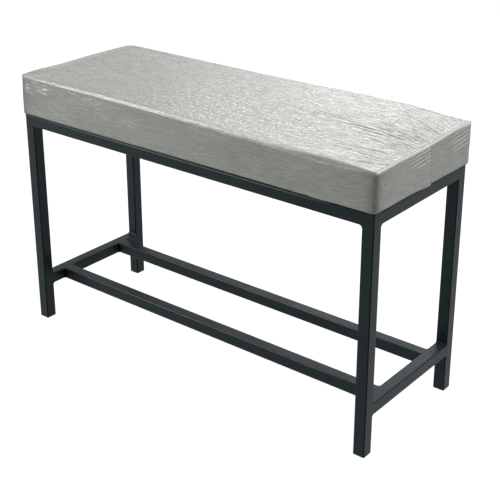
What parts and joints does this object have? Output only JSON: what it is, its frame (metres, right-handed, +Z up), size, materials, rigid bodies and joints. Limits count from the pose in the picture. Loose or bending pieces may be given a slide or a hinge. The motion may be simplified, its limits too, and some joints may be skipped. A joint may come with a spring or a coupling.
{
  "type": "luggage bench",
  "caption": "Hotel luggage bench: a slim black square-tube steel frame with low stretchers carries a thick rectangular pad in crinkled silver faux leather.",
  "frame": {"origin": "on the floor, under the middle of the bench", "axes": "+X along the bench to its right end, +Y to its back, +Z up"},
  "size_m": [1.006, 0.368, 0.6481],
  "materials": {
    "black_powder_coat": "satin black powder coat with a fine grain",
    "black_plastic": "matt moulded black",
    "zinc_screw": "zinc plated",
    "plywood": "raw plywood",
    "foam": "open-cell foam",
    "silver_vinyl": "metallic silver faux leather with a fine lengthwise crinkle, satin sheen",
    "black_nonwoven": "matt spun-bonded cloth"
  },
  "bodies": {
    "root": {"corner_plate_back_left": "black_powder_coat", "corner_plate_back_right": "black_powder_coat", "corner_plate_front_left": "black_powder_coat", "corner_plate_front_right": "black_powder_coat", "dust_cover": "black_nonwoven", "end_stretcher_left": "black_powder_coat", "end_stretcher_right": "black_powder_coat", "foot_insert_back_left": "black_plastic", "foot_insert_back_right": "black_plastic", "foot_insert_front_left": "black_plastic", "foot_insert_front_right": "black_plastic", "leg_back_left": "black_powder_coat", "leg_back_right": "black_powder_coat", "leg_front_left": "black_powder_coat", "leg_front_right": "black_powder_coat", "long_stretcher_back": "black_powder_coat", "long_stretcher_front": "black_powder_coat", "middle_tab_back": "black_powder_coat", "middle_tab_front": "black_powder_coat", "pad_screws": "zinc_screw", "seat_board": "plywood", "seat_cover": "silver_vinyl", "seat_foam": "foam", "stretcher_welds": "black_powder_coat", "top_corner_welds": "black_powder_coat", "top_rail_back": "black_powder_coat", "top_rail_front": "black_powder_coat", "top_rail_left": "black_powder_coat", "top_rail_right": "black_powder_coat"}
  },
  "joints": []
}
